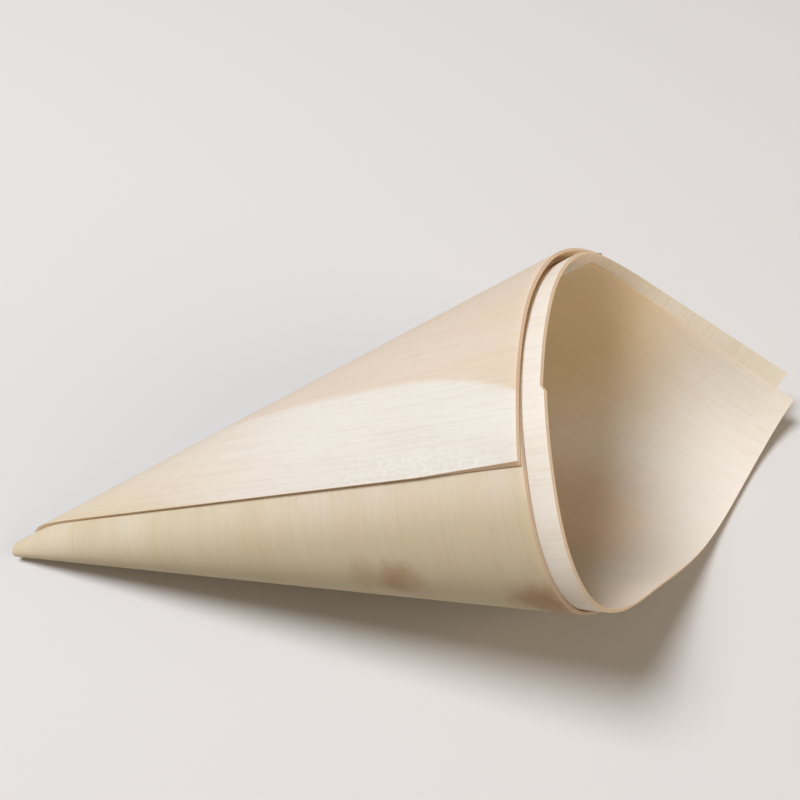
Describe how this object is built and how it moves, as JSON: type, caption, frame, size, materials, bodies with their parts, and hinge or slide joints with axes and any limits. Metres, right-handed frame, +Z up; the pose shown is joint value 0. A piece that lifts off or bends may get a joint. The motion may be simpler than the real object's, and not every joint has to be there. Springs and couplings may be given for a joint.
{
  "type": "wooden food cone",
  "caption": "Conical serving cup rolled from one thin sheet of wood veneer, with a long pointed corner at the mouth, lying on its side.",
  "frame": {"origin": "on the surface the cone lies on, under the roll's apex at the tip", "axes": "+X from the tip to the mouth along the line the cone lies on, +Z up, +Y to the side with the long corner"},
  "size_m": [0.1252, 0.0543, 0.0429],
  "materials": {
    "veneer": "satin"
  },
  "bodies": {
    "root": {"veneer_cone": "veneer"}
  },
  "joints": []
}
